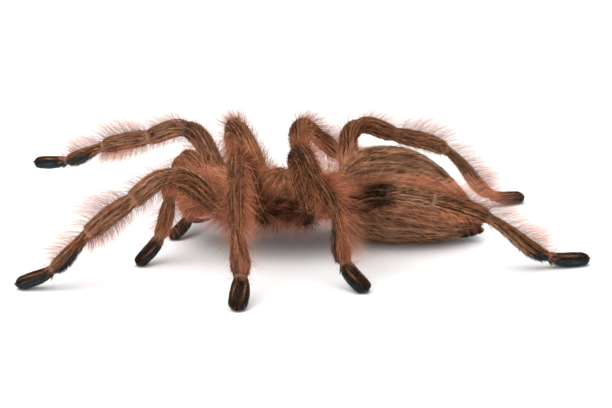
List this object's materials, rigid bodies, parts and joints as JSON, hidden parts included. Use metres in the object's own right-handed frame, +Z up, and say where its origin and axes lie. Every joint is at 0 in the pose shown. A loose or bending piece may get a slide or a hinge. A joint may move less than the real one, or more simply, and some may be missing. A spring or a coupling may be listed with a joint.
{
  "type": "chilean rose tarantula",
  "caption": "Still life-size model of a hairy ground spider standing on its feet with one foreleg raised, belly resting on the floor.",
  "frame": {"origin": "middle of the model's outline box, on the floor it stands on", "axes": "-X ahead, the way the head faces; -Y to the spider's left; +Z up"},
  "size_m": [0.127, 0.116, 0.031],
  "materials": {
    "brown_coat": "short brown fur with longer rose-brown hair",
    "rose_coat": "rose-brown velvet with orange tufts",
    "dark_pad": "dark brown to black velvet",
    "horn": "polished near-black horn"
  },
  "bodies": {
    "root": {"abdomen": "brown_coat", "carapace": "rose_coat", "chelicera_left": "rose_coat", "chelicera_right": "rose_coat", "eye_tubercle": "horn", "fang_left": "horn", "fang_right": "horn", "leg_1_left_femur": "brown_coat", "leg_1_left_metatarsus": "brown_coat", "leg_1_left_patella": "brown_coat", "leg_1_left_tarsus": "dark_pad", "leg_1_left_tibia": "brown_coat", "leg_1_right_femur": "brown_coat", "leg_1_right_metatarsus": "brown_coat", "leg_1_right_patella": "brown_coat", "leg_1_right_tarsus": "dark_pad", "leg_1_right_tibia": "brown_coat", "leg_2_left_femur": "brown_coat", "leg_2_left_metatarsus": "brown_coat", "leg_2_left_patella": "brown_coat", "leg_2_left_tarsus": "dark_pad", "leg_2_left_tibia": "brown_coat", "leg_2_right_femur": "brown_coat", "leg_2_right_metatarsus": "brown_coat", "leg_2_right_patella": "brown_coat", "leg_2_right_tarsus": "dark_pad", "leg_2_right_tibia": "brown_coat", "leg_3_left_femur": "brown_coat", "leg_3_left_metatarsus": "brown_coat", "leg_3_left_patella": "brown_coat", "leg_3_left_tarsus": "dark_pad", "leg_3_left_tibia": "brown_coat", "leg_3_right_femur": "brown_coat", "leg_3_right_metatarsus": "brown_coat", "leg_3_right_patella": "brown_coat", "leg_3_right_tarsus": "dark_pad", "leg_3_right_tibia": "brown_coat", "leg_4_left_femur": "brown_coat", "leg_4_left_metatarsus": "brown_coat", "leg_4_left_patella": "brown_coat", "leg_4_left_tarsus": "dark_pad", "leg_4_left_tibia": "brown_coat", "leg_4_right_femur": "brown_coat", "leg_4_right_metatarsus": "brown_coat", "leg_4_right_patella": "brown_coat", "leg_4_right_tarsus": "dark_pad", "leg_4_right_tibia": "brown_coat", "palp_left_femur": "brown_coat", "palp_left_patella": "brown_coat", "palp_left_tarsus": "dark_pad", "palp_left_tibia": "brown_coat", "palp_right_femur": "brown_coat", "palp_right_patella": "brown_coat", "palp_right_tarsus": "dark_pad", "palp_right_tibia": "brown_coat", "pedicel": "brown_coat", "spinneret_left": "brown_coat", "spinneret_right": "brown_coat", "sternum_and_coxae": "brown_coat"}
  },
  "joints": []
}
